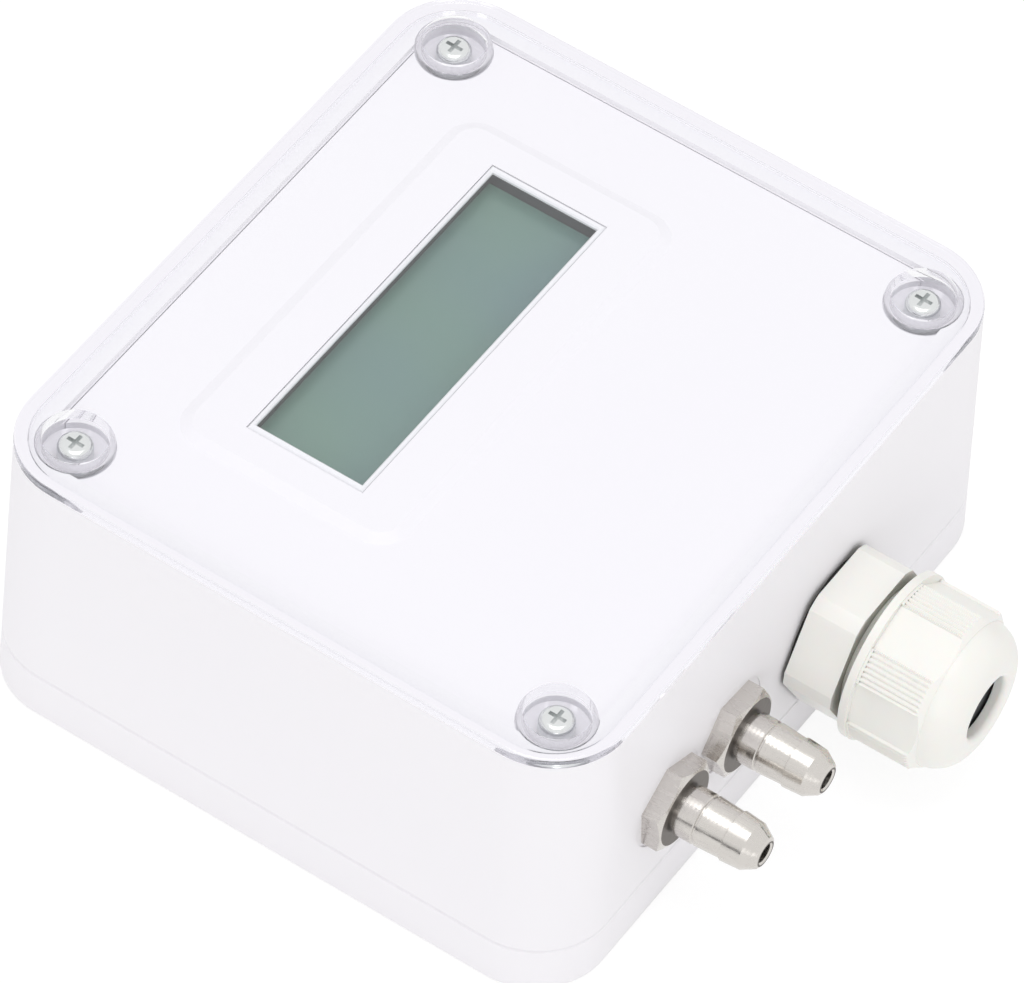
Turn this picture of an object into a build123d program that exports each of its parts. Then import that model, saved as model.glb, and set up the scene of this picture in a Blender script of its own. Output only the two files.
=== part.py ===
from build123d import *
import math
import os

# Differential pressure transmitter in a plastic wall box, in millimetres.
# It lies on its back: the origin is the centre of the back face, +Z runs up through the display
# and -Y points out along the two hose ports and the cable gland.

# Case
case_length = 90.0
case_width = 80.0
case_corner_radius = 9.6
end_wall_slope = 2.0
side_wall_slope = 1.2
wall_thickness = 2.4
floor_thickness = 2.4
seam_height = 6.4
seam_groove = 0.25
housing_top = 38.4

# Clear lid and its corner wells
lid_edge = 1.15
lid_edge_round = 0.6
lid_gap = 0.05
lid_clearance = 0.1
lip_width = 1.6
lip_height = 1.6
well_inset_x = 7.8
well_inset_y = 7.6
well_radius = 3.9
well_depth = 3.2
well_wall = 0.6
well_floor = 1.1
cup_clearance = 0.15

# Flat gasket on the shelf inside the lip
gasket_thickness = 0.85
gasket_inner_inset = 3.7
gasket_side_clearance = 0.05

# White panel under the lid, with the raised surround of the display
panel_inset = 4.0
panel_thickness = 1.6
panel_clearance = 0.15
ledge_width = 1.2
ledge_thickness = 2.2
display_x = 0.5
display_y = 10.65
surround_length = 56.6
surround_width = 27.6
surround_corner_radius = 2.6
surround_rise = 0.6
surround_slope = 1.4
surround_wall = 1.5

# Liquid crystal display
window_length = 48.8
window_width = 15.9
frame_clearance = 0.1
frame_end_width = 0.85
frame_side_width = 0.6
frame_height = 0.5
frame_rise = 0.1
frame_bevel = 0.2
bezel_height = 1.8
bezel_end_width = 0.8
bezel_side_width = 0.2
glass_length = 51.0
glass_width = 18.4
glass_thickness = 1.9
light_guide_length = 50.0
light_guide_width = 15.0
light_guide_height = 3.0
lcd_pin_count = 14
lcd_pin_pitch = 2.54
lcd_pin_size = 0.5
lcd_pin_inset = 0.5
lcd_pin_tail = 1.2

# Circuit boards
board_thickness = 1.6
board_end_gap = 4.6
board_front_gap = 8.1
board_back_gap = 3.1
board_column_gap = 1.5
standoff_height = 6.6
standoff_radius = 2.75
display_board_gap = 1.7
display_board_width = 36.0
spacer_edge_x = 3.0
spacer_edge_y = 4.5
spacer_flats = 5.0
spacer_stud_radius = 1.1
spacer_stud_length = 5.0
spacer_socket_depth = 5.0
stud_clearance = 0.15
board_screw_head_radius = 2.0
board_screw_head_height = 1.4
board_screw_length = 5.0

# Screws of the lid and of the case
column_radius = 5.5
screw_radius = 1.45
screw_hole_radius = 1.6
pilot_clearance = 0.05
lid_screw_head_radius = 2.1
lid_screw_head_height = 2.2
lid_screw_length = 10.5
case_screw_head_radius = 2.6
case_screw_head_height = 2.2
case_screw_length = 13.0
counterbore_depth = 2.6
counterbore_clearance = 0.3
driver_slot_length = 2.2
driver_slot_width = 0.5
driver_slot_depth = 0.9
pilot_extra_depth = 1.0

# Keyholes that hang the case on two wall screws
keyhole_spacing = 40.0
keyhole_y = 6.0
keyhole_travel = 8.0
keyhole_head_radius = 4.0
keyhole_neck_radius = 2.1
keyhole_lip = 1.6
keyhole_depth = 3.0
keyhole_cover = 1.2

# Flat seats on the port side
seat_depth = 0.32
port_pitch = 12.7
port_well_distance = 12.0
port_height = 17.5
port_seat_radius = 6.2
gland_seat_margin = 0.25
gland_share = 0.23
gland_height = 15.4

# Hose ports
port_flats = 10.0
port_hex_thickness = 2.5
port_hex_chamfer = 0.5
port_hex_turns = (35.8, 53.7)
port_bore_radius = 1.2
port_bore_chamfer = 0.2
port_neck_radius = 2.75
port_neck_length = 0.5
barb_radius = 3.15
barb_dip = 0.18
barb_land_length = 2.1
barb_tooth_lengths = (3.6, 2.7)
barb_nose_length = 1.8
barb_nose_radius = 1.9
barb_nose_chamfer = 0.25
port_thread_radius = 2.95
port_thread_clearance = 0.15
port_thread_length = 7.3
port_tail_radius = 1.6
port_tail_length = 3.4
port_nut_flats = 9.8
port_nut_thickness = 3.0
port_washer_radius = 5.6
port_washer_thickness = 0.8

# Pressure sensor and its tubes
sensor_length = 22.0
sensor_depth = 10.5
sensor_height = 12.0
sensor_wall_gap = 13.6
sensor_edge_radius = 1.0
sensor_port_length = 4.6
tube_clearance = 0.05
tube_wall = 1.1
tube_end_gap = 0.2

# Cable gland
gland_thread_radius = 7.55
gland_thread_clearance = 0.15
gland_inner_length = 9.0
gland_washer_radius = 8.5
gland_washer_thickness = 0.6
gland_flats = 18.4
gland_corner_radius = 10.1
gland_hex_thickness = 6.3
gland_bore_radius = 4.6
gland_neck_radius = 7.9
gland_neck_length = 0.8
gland_front_thread_radius = 8.3
gland_front_thread_length = 4.9
claw_count = 10
claw_slit = 0.9
claw_length = 5.3
claw_tip_radius = 6.9
claw_root_radius = 7.8
claw_chamfer = 0.4
lock_nut_thickness = 4.5
seal_pocket_radius = 5.75
seal_pocket_start = 8.5
seal_clearance = 0.12
seal_bore_radius = 3.0
seal_length = 11.0
seal_chamfer = 0.5

# Cap nut of the gland
cap_start = 8.2
cap_flange_radius = 10.6
cap_flange_thickness = 1.0
cap_flats = 19.0
cap_corner_radius = 10.3
cap_turn = 20.0
cap_grip_end = 17.9
cap_grip_bevel = 0.9
cap_dome_radius = 9.3
cap_dome_round = 4.2
cap_length = 13.4
cap_mouth_radius = 3.97
cap_mouth_round = 0.7
cap_mouth_wall = 1.6
cap_thread_clearance = 0.15
cap_thread_depth = 5.4
cap_cone_end_radius = 6.3
grip_pad_width = 4.4
grip_pad_start = 9.5
grip_pad_length = 8.0
groove_count = 7
groove_turn = 3.6
groove_size = 0.36

# Screw terminals
terminal_count = 3
terminal_pitch = 5.08
terminal_depth = 9.0
terminal_height = 11.5
terminal_wall_gap = 22.1
terminal_end_wall = 0.8
terminal_opening_width = 3.8
terminal_opening_height = 4.6
terminal_opening_z = 2.6
terminal_screw_radius = 1.6
terminal_screw_well_radius = 1.9
terminal_screw_recess = 1.0
terminal_clamp_clearance = 0.1
terminal_clamp_wall = 0.5

# Small parts on the boards
header_pin_count = 6
header_pin_pitch = 2.54
header_pin_size = 0.64
header_strip_width = 2.5
header_strip_height = 2.5
header_inset = 2.4
header_tail = 1.2
chip_sizes = ((10.0, 7.6, 1.6), (7.0, 7.0, 1.2))
chip_places = ((-12.0, 17.0), (10.0, 16.0))
capacitor_radius = 4.0
capacitor_height = 9.5
capacitor_x = 20.0
capacitor_y = 8.0
capacitor_round = 0.5


# Heights and places worked out from the sizes
lid_bottom = housing_top + lid_gap
lid_top = lid_bottom + lid_edge
lip_floor = housing_top - lip_height
plateau_bottom = lip_floor + gasket_thickness + lid_gap
well_bottom = lid_top - well_depth
cup_bottom = well_bottom - well_floor
cup_radius = well_radius + well_wall
cup_seat = cup_bottom - lid_clearance
cup_recess_radius = cup_radius + cup_clearance
panel_top = lip_floor
panel_bottom = panel_top - panel_thickness
rim_bottom = panel_bottom - ledge_thickness
surround_top = panel_top + surround_rise
frame_bottom = surround_top + frame_rise - frame_height
glass_top = frame_bottom - bezel_height
light_guide_top = glass_top - glass_thickness
display_board_top = light_guide_top - light_guide_height
display_board_bottom = display_board_top - board_thickness
main_board_bottom = floor_thickness + standoff_height
main_board_top = main_board_bottom + board_thickness
seat_y = -(case_width / 2 + seat_depth)
inner_wall_y = -(case_width / 2 - wall_thickness)
wall_at_seat = inner_wall_y - seat_y
well_x = case_length / 2 - well_inset_x
well_y = case_width / 2 - well_inset_y
wells = [(x, y) for x in (-well_x, well_x) for y in (-well_y, well_y)]
port_xs = (port_well_distance - well_x, port_well_distance - well_x + port_pitch)
port_middle_x = sum(port_xs) / 2
gland_x = port_xs[1] + gland_share * case_length
gland_seat_radius = gland_height - seam_height - seam_groove - gland_seat_margin
main_board_length = case_length - 2 * (wall_thickness + board_end_gap)
main_board_width = case_width - 2 * wall_thickness - board_front_gap - board_back_gap
main_board_y = (board_front_gap - board_back_gap) / 2
display_board_length = 2 * (well_x - column_radius - display_board_gap)
spacer_x = display_board_length / 2 - spacer_edge_x
spacer_y = display_board_width / 2 - spacer_edge_y
spacers = [(display_x + x, display_y + y) for x in (-spacer_x, spacer_x)
           for y in (-spacer_y, spacer_y)]
sensor_front_y = inner_wall_y + sensor_wall_gap
terminal_y = inner_wall_y + terminal_wall_gap
keyholes = [(-keyhole_spacing / 2, keyhole_y), (keyhole_spacing / 2, keyhole_y)]


def case_outline(height, inset=0.0):
    """Draw the rounded outline of the sloping case at a height, or one a little inside it."""
    drop = housing_top - height
    end_growth = drop * math.tan(math.radians(end_wall_slope)) - inset
    side_growth = drop * math.tan(math.radians(side_wall_slope)) - inset
    RectangleRounded(case_length + 2 * end_growth, case_width + 2 * side_growth,
                     case_corner_radius - inset)


def cavity_outline():
    """Draw the inside of the case walls."""
    RectangleRounded(case_length - 2 * wall_thickness, case_width - 2 * wall_thickness,
                     case_corner_radius - wall_thickness)


def inner_outline(inset, mode=Mode.ADD):
    """Draw the rounded outline at an inset from the top edge of the case."""
    RectangleRounded(case_length - 2 * inset, case_width - 2 * inset,
                     case_corner_radius - inset, mode=mode)


def notched_outline(inset, notch_radius):
    """Outline at an inset from the top edge of the case, cut by a circle at each corner well."""
    with BuildSketch() as outline:
        inner_outline(inset)
        with Locations(*wells):
            Circle(notch_radius, mode=Mode.SUBTRACT)
    return outline.sketch


def port_side(x, height, out=0.0):
    """Plane on the port side, square to -Y, a distance out from the flat seats."""
    return Plane(origin=(x, seat_y - out, height), x_dir=(1, 0, 0), z_dir=(0, -1, 0))


def port_section(x, height):
    """Plane through an axis of the port side: X is the radius and Y the way out of the case."""
    return Plane(origin=(x, seat_y, height), x_dir=(1, 0, 0), z_dir=(0, 0, -1))


def port_axis(x, height):
    """Axis of a port or of the gland, out of the case."""
    return Axis((x, seat_y, height), (0, -1, 0))


def pan_screw(head_radius, head_height, shank_radius, shank_length):
    """Pan head screw with a cross recess, its head seated at the origin, pointing down."""
    with BuildPart() as screw:
        Cylinder(head_radius, head_height, align=(Align.CENTER, Align.CENTER, Align.MIN))
        fillet(screw.edges().group_by(Axis.Z)[-1], head_height * 0.4)
        Cylinder(shank_radius, shank_length, align=(Align.CENTER, Align.CENTER, Align.MAX))
        chamfer(screw.edges().group_by(Axis.Z)[0], shank_radius * 0.4)
        with Locations((0, 0, head_height)):
            for turn in (0, 90):
                Box(driver_slot_length, driver_slot_width, 2 * driver_slot_depth,
                    rotation=(0, 0, turn), mode=Mode.SUBTRACT)
    return screw.part


# Back plate: a shallow tray with screw columns, board standoffs and two blind keyholes
with BuildPart() as back_plate:
    with BuildSketch():
        case_outline(0)
    with BuildSketch(Plane.XY.offset(seam_height - seam_groove)):
        case_outline(seam_height - seam_groove)
    with BuildSketch(Plane.XY.offset(seam_height)):
        case_outline(seam_height, seam_groove)
    loft(ruled=True)
    with BuildSketch(Plane.XY.offset(floor_thickness)):
        cavity_outline()
    extrude(amount=seam_height - floor_thickness, mode=Mode.SUBTRACT)
    with BuildSketch(Plane.XY.offset(floor_thickness)):
        with Locations(*wells):
            Circle(column_radius)
    extrude(amount=seam_height - floor_thickness)
    with BuildSketch(Plane.XY.offset(floor_thickness)):
        with Locations(*spacers):
            Circle(standoff_radius)
    extrude(amount=standoff_height)
    with BuildSketch(Plane.XY.offset(floor_thickness)):
        for x, y in keyholes:
            with Locations((x, y + keyhole_travel / 2)):
                SlotCenterToCenter(keyhole_travel, 2 * (keyhole_head_radius + keyhole_cover),
                                   rotation=90)
    extrude(amount=keyhole_lip + keyhole_depth + keyhole_cover - floor_thickness)
    with Locations(Plane.XY.rotated((180, 0, 0))):
        with Locations(*[(x, -y) for x, y in wells]):
            CounterBoreHole(screw_hole_radius, case_screw_head_radius + counterbore_clearance,
                            counterbore_depth, depth=seam_height)
    with BuildSketch(Plane.XY.offset(main_board_bottom)):
        with Locations(*spacers):
            Circle(spacer_stud_radius + stud_clearance)
    extrude(amount=-spacer_stud_length, mode=Mode.SUBTRACT)
    with BuildSketch():
        for x, y in keyholes:
            with Locations((x, y)):
                Circle(keyhole_head_radius)
            with Locations((x, y + keyhole_travel / 2)):
                SlotCenterToCenter(keyhole_travel, 2 * keyhole_neck_radius, rotation=90)
    extrude(amount=keyhole_lip, mode=Mode.SUBTRACT)
    with BuildSketch(Plane.XY.offset(keyhole_lip)):
        for x, y in keyholes:
            with Locations((x, y + keyhole_travel / 2)):
                SlotCenterToCenter(keyhole_travel, 2 * keyhole_head_radius, rotation=90)
    extrude(amount=keyhole_depth, mode=Mode.SUBTRACT)

# Housing: sloping walls, corner columns, and a rim with a lip, a gasket shelf and a panel ledge
with BuildPart() as housing:
    with BuildSketch(Plane.XY.offset(seam_height)):
        case_outline(seam_height, seam_groove)
    with BuildSketch(Plane.XY.offset(seam_height + seam_groove)):
        case_outline(seam_height + seam_groove)
    with BuildSketch(Plane.XY.offset(housing_top)):
        case_outline(housing_top)
    loft(ruled=True)
    with BuildSketch(Plane.XY.offset(seam_height)):
        cavity_outline()
    extrude(amount=rim_bottom - seam_height, mode=Mode.SUBTRACT)
    with BuildSketch(Plane.XY.offset(seam_height)):
        with Locations(*wells):
            Circle(column_radius)
    extrude(amount=rim_bottom - seam_height)
    with BuildSketch(Plane.XY.offset(rim_bottom)):
        add(notched_outline(panel_inset + ledge_width, column_radius))
    extrude(amount=ledge_thickness, mode=Mode.SUBTRACT)
    with BuildSketch(Plane.XY.offset(panel_bottom)):
        inner_outline(panel_inset - panel_clearance)
    extrude(amount=panel_thickness, mode=Mode.SUBTRACT)
    with BuildSketch(Plane.XY.offset(lip_floor)):
        inner_outline(lip_width)
    extrude(amount=lip_height, mode=Mode.SUBTRACT)
    with Locations(Plane.XY.offset(lip_floor)):
        with Locations(*wells):
            CounterBoreHole(screw_radius + pilot_clearance, cup_recess_radius,
                            lip_floor - cup_seat,
                            depth=lip_floor - well_bottom + lid_screw_length + pilot_extra_depth)
    with BuildSketch(Plane.XY.offset(seam_height)):
        with Locations(*wells):
            Circle(screw_radius + pilot_clearance)
    extrude(amount=counterbore_depth + case_screw_length + pilot_extra_depth - seam_height,
            mode=Mode.SUBTRACT)
    with BuildSketch(port_side(0, 0)):
        with Locations(*[(x, port_height) for x in port_xs]):
            Circle(port_seat_radius)
        with Locations((gland_x, gland_height)):
            Circle(gland_seat_radius)
    extrude(amount=wall_thickness, mode=Mode.SUBTRACT)
    with BuildSketch(port_side(0, 0)):
        with Locations(*[(x, port_height) for x in port_xs]):
            Circle(port_thread_radius + port_thread_clearance)
        with Locations((gland_x, gland_height)):
            Circle(gland_thread_radius + gland_thread_clearance)
    extrude(amount=-wall_at_seat, mode=Mode.SUBTRACT)

# Clear lid: a flat plate with a rounded edge, a plateau inside the lip and four screw cups
with BuildPart() as lid:
    with BuildSketch(Plane.XY.offset(lid_bottom)):
        case_outline(housing_top)
    extrude(amount=lid_edge)
    fillet(lid.faces().sort_by(Axis.Z)[-1].edges(), lid_edge_round)
    with BuildSketch(Plane.XY.offset(plateau_bottom)):
        inner_outline(lip_width + lid_clearance)
    extrude(amount=lid_bottom - plateau_bottom)
    with BuildSketch(Plane.XY.offset(cup_bottom)):
        with Locations(*wells):
            Circle(cup_radius)
    extrude(amount=plateau_bottom - cup_bottom)
    with Locations(Plane.XY.offset(lid_top)):
        with Locations(*wells):
            CounterBoreHole(screw_hole_radius, well_radius, well_depth,
                            depth=lid_top - cup_bottom)

# Gasket: a flat soft frame on the shelf, pressed by the plateau of the lid
with BuildPart() as lid_gasket:
    with BuildSketch(Plane.XY.offset(lip_floor)):
        add(notched_outline(lip_width + gasket_side_clearance, cup_recess_radius))
        inner_outline(gasket_inner_inset, mode=Mode.SUBTRACT)
    extrude(amount=gasket_thickness)

with BuildPart() as lid_screws:
    with Locations(Plane.XY.offset(well_bottom)):
        with Locations(*wells):
            add(pan_screw(lid_screw_head_radius, lid_screw_head_height, screw_radius,
                          lid_screw_length))

with BuildPart() as case_screws:
    with Locations(Plane.XY.offset(counterbore_depth).rotated((180, 0, 0))):
        with Locations(*[(x, -y) for x, y in wells]):
            add(pan_screw(case_screw_head_radius, case_screw_head_height, screw_radius,
                          case_screw_length))

# White panel with the raised surround of the display
with BuildPart() as display_panel:
    with BuildSketch(Plane.XY.offset(panel_bottom)):
        add(notched_outline(panel_inset, cup_recess_radius))
    extrude(amount=panel_thickness)
    with BuildSketch(Plane.XY.offset(panel_top)):
        with Locations((display_x, display_y)):
            RectangleRounded(surround_length + 2 * surround_slope,
                             surround_width + 2 * surround_slope,
                             surround_corner_radius + surround_slope)
    with BuildSketch(Plane.XY.offset(surround_top)):
        with Locations((display_x, display_y)):
            RectangleRounded(surround_length, surround_width, surround_corner_radius)
    loft(ruled=True)
    with BuildSketch(Plane.XY.offset(panel_bottom)):
        with Locations((display_x, display_y)):
            RectangleRounded(surround_length - 2 * surround_wall,
                             surround_width - 2 * surround_wall,
                             surround_corner_radius - surround_wall / 2)
    extrude(amount=surround_rise, mode=Mode.SUBTRACT)
    with BuildSketch(Plane.XY.offset(panel_bottom)):
        with Locations((display_x, display_y)):
            Rectangle(window_length, window_width)
    extrude(amount=surround_top - panel_bottom, mode=Mode.SUBTRACT)

# Display: a bevelled rim in the window, a dark bezel below it, the glass and its light guide
frame_length = window_length - 2 * frame_clearance
frame_width = window_width - 2 * frame_clearance
with BuildPart() as lcd_frame:
    with BuildSketch(Plane.XY.offset(frame_bottom)):
        with Locations((display_x, display_y)):
            Rectangle(frame_length, frame_width)
            Rectangle(frame_length - 2 * frame_end_width, frame_width - 2 * frame_side_width,
                      mode=Mode.SUBTRACT)
    extrude(amount=frame_height)
    chamfer(lcd_frame.faces().sort_by(Axis.Z)[-1].edges(), frame_bevel)

with BuildPart() as lcd_bezel:
    with BuildSketch(Plane.XY.offset(glass_top)):
        with Locations((display_x, display_y)):
            Rectangle(frame_length, frame_width)
            Rectangle(frame_length - 2 * bezel_end_width, frame_width - 2 * bezel_side_width,
                      mode=Mode.SUBTRACT)
    extrude(amount=bezel_height)

with BuildPart() as lcd_glass:
    with BuildSketch(Plane.XY.offset(light_guide_top)):
        with Locations((display_x, display_y)):
            Rectangle(glass_length, glass_width)
    extrude(amount=glass_thickness)

with BuildPart() as lcd_light_guide:
    with BuildSketch(Plane.XY.offset(display_board_top)):
        with Locations((display_x, display_y)):
            Rectangle(light_guide_length, light_guide_width)
    extrude(amount=light_guide_height)

with BuildPart() as lcd_pins:
    with BuildSketch(Plane.XY.offset(light_guide_top)):
        with Locations((display_x, display_y)):
            with GridLocations(lcd_pin_pitch, glass_width - 2 * lcd_pin_inset, lcd_pin_count, 2):
                Rectangle(lcd_pin_size, lcd_pin_size)
    extrude(amount=-light_guide_height - board_thickness - lcd_pin_tail)

# Circuit boards, joined by four threaded spacers and a pin header
with BuildPart() as display_board:
    with BuildSketch(Plane.XY.offset(display_board_bottom)):
        with Locations((display_x, display_y)):
            Rectangle(display_board_length, display_board_width)
            with GridLocations(lcd_pin_pitch, glass_width - 2 * lcd_pin_inset, lcd_pin_count, 2):
                Rectangle(lcd_pin_size + stud_clearance, lcd_pin_size + stud_clearance,
                          mode=Mode.SUBTRACT)
            with Locations((0, display_board_width / 2 - header_inset)):
                with GridLocations(header_pin_pitch, 1, header_pin_count, 1):
                    Rectangle(header_pin_size + stud_clearance, header_pin_size + stud_clearance,
                              mode=Mode.SUBTRACT)
        with Locations(*spacers):
            Circle(spacer_stud_radius + stud_clearance, mode=Mode.SUBTRACT)
    extrude(amount=board_thickness)

with BuildPart() as board_spacers:
    with Locations(*[(x, y, main_board_top) for x, y in spacers]):
        Cylinder(spacer_stud_radius, spacer_stud_length,
                 align=(Align.CENTER, Align.CENTER, Align.MAX))
    with BuildSketch(Plane.XY.offset(main_board_top)):
        with Locations(*spacers):
            RegularPolygon(spacer_flats / 2, 6, major_radius=False)
    extrude(amount=display_board_bottom - main_board_top)
    with BuildSketch(Plane.XY.offset(display_board_bottom)):
        with Locations(*spacers):
            Circle(spacer_stud_radius)
    extrude(amount=-spacer_socket_depth - pilot_extra_depth, mode=Mode.SUBTRACT)

with BuildPart() as display_board_screws:
    with Locations(Plane.XY.offset(display_board_top)):
        with Locations(*spacers):
            Cylinder(board_screw_head_radius, board_screw_head_height,
                     align=(Align.CENTER, Align.CENTER, Align.MIN))
            Cylinder(spacer_stud_radius - pilot_clearance, board_screw_length,
                     align=(Align.CENTER, Align.CENTER, Align.MAX))

with BuildPart() as main_board:
    with BuildSketch(Plane.XY.offset(main_board_bottom)):
        with Locations((0, main_board_y)):
            Rectangle(main_board_length, main_board_width)
        with Locations(*wells):
            Circle(column_radius + board_column_gap, mode=Mode.SUBTRACT)
        with Locations(*spacers):
            Circle(spacer_stud_radius + stud_clearance, mode=Mode.SUBTRACT)
    extrude(amount=board_thickness)

header_y = display_y + display_board_width / 2 - header_inset
with BuildPart() as header_strip:
    with BuildSketch(Plane.XY.offset(main_board_top)):
        with Locations((display_x, header_y)):
            Rectangle(header_pin_count * header_pin_pitch, header_strip_width)
            with GridLocations(header_pin_pitch, 1, header_pin_count, 1):
                Rectangle(header_pin_size, header_pin_size, mode=Mode.SUBTRACT)
    extrude(amount=header_strip_height)

with BuildPart() as header_pins:
    with BuildSketch(Plane.XY.offset(main_board_top)):
        with Locations((display_x, header_y)):
            with GridLocations(header_pin_pitch, 1, header_pin_count, 1):
                Rectangle(header_pin_size, header_pin_size)
    extrude(amount=display_board_top + header_tail - main_board_top)

with BuildPart() as board_chips:
    for (length, width, height), (x, y) in zip(chip_sizes, chip_places):
        with Locations((x, y, main_board_top)):
            Box(length, width, height, align=(Align.CENTER, Align.CENTER, Align.MIN))

with BuildPart() as board_capacitor:
    with Locations((capacitor_x, capacitor_y, main_board_top)):
        Cylinder(capacitor_radius, capacitor_height,
                 align=(Align.CENTER, Align.CENTER, Align.MIN))
    fillet(board_capacitor.edges().group_by(Axis.Z)[-1], capacitor_round)

# Screw terminals for the cable, their openings towards the gland
terminal_length = terminal_count * terminal_pitch + 2 * terminal_end_wall
terminal_front_y = terminal_y - terminal_depth / 2
opening_middle_z = main_board_top + terminal_opening_z + terminal_opening_height / 2
clamp_depth = terminal_depth - 2.0
with BuildPart() as terminal_block:
    with Locations((gland_x, terminal_y, main_board_top)):
        Box(terminal_length, terminal_depth, terminal_height,
            align=(Align.CENTER, Align.CENTER, Align.MIN))
    chamfer(terminal_block.edges().filter_by(Axis.X).group_by(Axis.Z)[-1], 0.8)
    with BuildSketch(Plane(origin=(gland_x, terminal_front_y, opening_middle_z),
                           x_dir=(1, 0, 0), z_dir=(0, -1, 0))):
        with GridLocations(terminal_pitch, 1, terminal_count, 1):
            Rectangle(terminal_opening_width, terminal_opening_height)
    extrude(amount=-clamp_depth, mode=Mode.SUBTRACT)
    with BuildSketch(Plane.XY.offset(main_board_top + terminal_height)):
        with Locations((gland_x, terminal_y)):
            with GridLocations(terminal_pitch, 1, terminal_count, 1):
                Circle(terminal_screw_well_radius)
    extrude(amount=opening_middle_z - main_board_top - terminal_height, mode=Mode.SUBTRACT)

clamp_top = opening_middle_z + terminal_opening_height / 2 - terminal_clamp_clearance
with BuildPart() as terminal_clamps:
    with Locations((gland_x, terminal_front_y + clamp_depth, opening_middle_z)):
        with GridLocations(terminal_pitch, 1, terminal_count, 1):
            Box(terminal_opening_width - 2 * terminal_clamp_clearance, clamp_depth * 0.6,
                terminal_opening_height - 2 * terminal_clamp_clearance,
                align=(Align.CENTER, Align.MAX, Align.CENTER))
    with Locations((gland_x, terminal_front_y, opening_middle_z)):
        with GridLocations(terminal_pitch, 1, terminal_count, 1):
            inner_width = (terminal_opening_width - 2 * terminal_clamp_clearance
                           - 2 * terminal_clamp_wall)
            inner_height = (terminal_opening_height - 2 * terminal_clamp_clearance
                            - 2 * terminal_clamp_wall)
            Box(inner_width, 3 * terminal_depth, inner_height, mode=Mode.SUBTRACT)

with BuildPart() as terminal_screws:
    screw_top = main_board_top + terminal_height - terminal_screw_recess
    with Locations((gland_x, terminal_y, screw_top)):
        with GridLocations(terminal_pitch, 1, terminal_count, 1):
            Cylinder(terminal_screw_radius, screw_top - clamp_top,
                     align=(Align.CENTER, Align.CENTER, Align.MAX))
            Box(2 * terminal_screw_radius, 0.5, 1.2, mode=Mode.SUBTRACT)

# Pressure sensor, with two stubs that face the inner tails of the ports
with BuildPart() as pressure_sensor:
    with Locations((port_middle_x, sensor_front_y, main_board_top)):
        Box(sensor_length, sensor_depth, sensor_height,
            align=(Align.CENTER, Align.MIN, Align.MIN))
    fillet(pressure_sensor.edges().filter_by(Axis.Z), sensor_edge_radius)
    with BuildSketch(Plane(origin=(0, sensor_front_y, 0), x_dir=(1, 0, 0), z_dir=(0, -1, 0))):
        with Locations(*[(x, port_height) for x in port_xs]):
            Circle(port_tail_radius)
    extrude(amount=sensor_port_length)
    with BuildSketch(Plane(origin=(0, sensor_front_y - sensor_port_length, 0),
                           x_dir=(1, 0, 0), z_dir=(0, -1, 0))):
        with Locations(*[(x, port_height) for x in port_xs]):
            Circle(port_tail_radius * 0.5)
    extrude(amount=-sensor_port_length - 2.0, mode=Mode.SUBTRACT)


def hose_port(x, hex_turn):
    """Turned port: hexagon on the wall, barbed spigot outside, thread and plain tail inside."""
    thread_end = -port_thread_length
    tail_end = thread_end - port_tail_length
    neck_end = port_hex_thickness + port_neck_length
    land_end = neck_end + barb_land_length
    first_end = land_end + barb_tooth_lengths[0]
    second_end = first_end + barb_tooth_lengths[1]
    tip = second_end + barb_nose_length
    with BuildPart() as port:
        with BuildSketch(port_side(x, port_height)):
            RegularPolygon(port_flats / 2, 6, major_radius=False, rotation=hex_turn)
        extrude(amount=port_hex_thickness)
        corner = port_flats / math.sqrt(3)
        with BuildSketch(port_section(x, port_height)):
            with BuildLine():
                Polyline((0, 0), (corner, 0), (corner, port_hex_thickness - port_hex_chamfer),
                         (corner - 2 * port_hex_chamfer, port_hex_thickness),
                         (0, port_hex_thickness), close=True)
            make_face()
        revolve(axis=port_axis(x, port_height), mode=Mode.INTERSECT)
        with BuildSketch(port_section(x, port_height)):
            with BuildLine():
                Polyline((0, tail_end), (port_tail_radius, tail_end),
                         (port_tail_radius, thread_end), (port_thread_radius, thread_end),
                         (port_thread_radius, 0), (port_neck_radius, 0),
                         (port_neck_radius, neck_end), (barb_radius, neck_end),
                         (barb_radius, land_end), (barb_radius - barb_dip, land_end + barb_dip),
                         (barb_radius - barb_dip, land_end + 2 * barb_dip),
                         (barb_radius, land_end + 2.5 * barb_dip),
                         (barb_radius - barb_dip, first_end),
                         (barb_radius - barb_dip, first_end + barb_dip),
                         (barb_radius, first_end + 1.5 * barb_dip),
                         (barb_radius - barb_dip, second_end),
                         (barb_nose_radius, tip), (0, tip), close=True)
            make_face()
        revolve(axis=port_axis(x, port_height))
        with BuildSketch(port_side(x, port_height, tip)):
            Circle(port_bore_radius)
        extrude(amount=tail_end - tip, mode=Mode.SUBTRACT)
        nose = port.edges().filter_by(GeomType.CIRCLE).group_by(Axis.Y)[0]
        chamfer(nose.sort_by(SortBy.RADIUS)[-1], barb_nose_chamfer)
        nose = port.edges().filter_by(GeomType.CIRCLE).group_by(Axis.Y)[0]
        chamfer(nose.sort_by(SortBy.RADIUS)[0], port_bore_chamfer)
    return port.part


with BuildPart() as high_port:
    add(hose_port(port_xs[0], port_hex_turns[0]))

with BuildPart() as low_port:
    add(hose_port(port_xs[1], port_hex_turns[1]))

with BuildPart() as port_washers:
    with BuildSketch(port_side(0, 0, -wall_at_seat)):
        with Locations(*[(x, port_height) for x in port_xs]):
            Circle(port_washer_radius)
            Circle(port_thread_radius + port_thread_clearance, mode=Mode.SUBTRACT)
    extrude(amount=-port_washer_thickness)

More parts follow.
